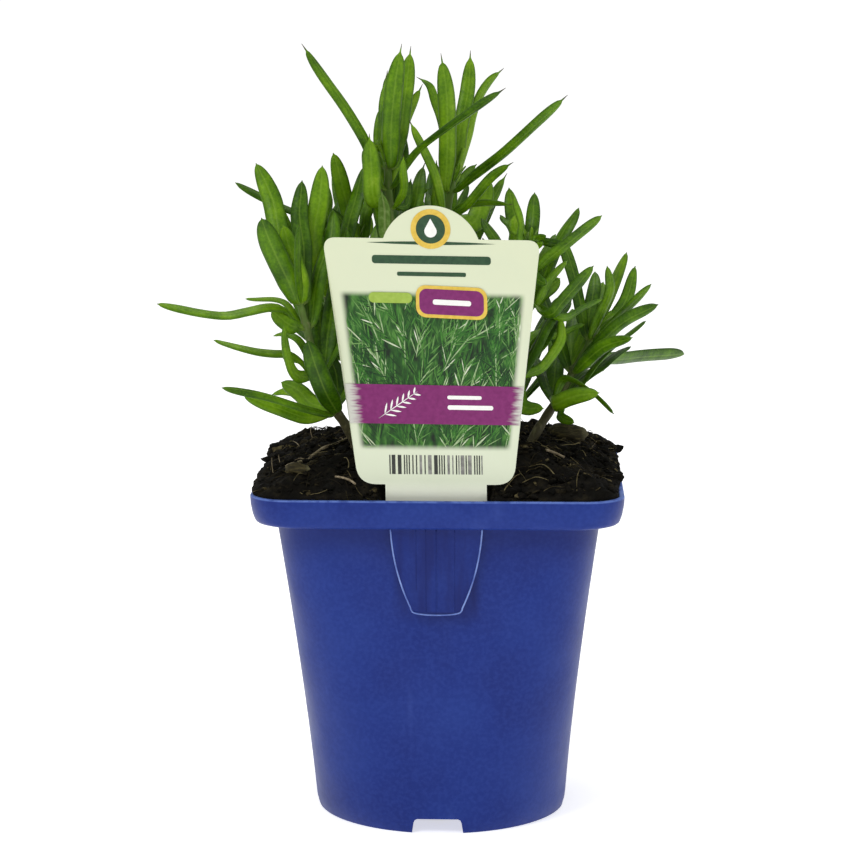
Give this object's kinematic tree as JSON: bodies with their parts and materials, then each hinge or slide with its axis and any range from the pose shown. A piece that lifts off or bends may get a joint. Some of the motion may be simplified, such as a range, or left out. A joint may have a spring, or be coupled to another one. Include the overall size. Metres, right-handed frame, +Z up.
{
  "type": "potted rosemary herb plant",
  "caption": "Young rosemary plants in a square-topped blue nursery pot that narrows to a round foot, with dark potting mix and a push-in cream plant label at the front",
  "frame": {"origin": "on the pot's vertical axis, in the plane the pot stands on", "axes": "+Z up, front with the plant label towards -Y, +X to the right seen from the front"},
  "size_m": [0.1431, 0.1106, 0.2137],
  "materials": {
    "pot_plastic": "satin",
    "label_plastic": "satin",
    "potting_mix": "rough",
    "bark": "rough",
    "root": "rough",
    "stem": "satin",
    "leaf": "satin"
  },
  "bodies": {
    "root": {"pot": "pot_plastic", "plant_label": "label_plastic", "potting_mix": "potting_mix", "root_strand": "root", "bark_chip_1": "bark", "bark_chip_2": "bark", "bark_chip_3": "bark", "bark_chunk": "bark", "left_stem": "stem", "left_upper_stem": "stem", "inner_left_stem": "stem", "tall_left_stem": "stem", "tall_right_stem": "stem", "right_upper_stem": "stem", "right_low_stem": "stem", "back_left_stem": "stem", "back_middle_stem": "stem", "back_right_stem": "stem", "left_leaves_1": "leaf", "left_leaves_2": "leaf", "left_leaves_3": "leaf", "left_leaves_4": "leaf", "left_upper_leaves_1": "leaf", "left_upper_leaves_2": "leaf", "left_upper_leaves_3": "leaf", "inner_left_leaves_1": "leaf", "inner_left_leaves_2": "leaf", "inner_left_leaves_3": "leaf", "tall_left_leaves_1": "leaf", "tall_left_leaves_2": "leaf", "tall_left_leaves_3": "leaf", "tall_left_leaves_4": "leaf", "tall_left_leaves_5": "leaf", "tall_right_leaves_1": "leaf", "tall_right_leaves_2": "leaf", "tall_right_leaves_3": "leaf", "tall_right_leaves_4": "leaf", "right_upper_leaves_1": "leaf", "right_upper_leaves_2": "leaf", "right_upper_leaves_3": "leaf", "right_upper_leaves_4": "leaf", "right_low_leaves_1": "leaf", "right_low_leaves_2": "leaf", "right_low_leaves_3": "leaf", "back_left_leaves_1": "leaf", "back_left_leaves_2": "leaf", "back_left_leaves_3": "leaf", "back_middle_leaves_1": "leaf", "back_middle_leaves_2": "leaf", "back_middle_leaves_3": "leaf", "back_right_leaves_1": "leaf", "back_right_leaves_2": "leaf", "back_right_leaves_3": "leaf"}
  },
  "joints": []
}
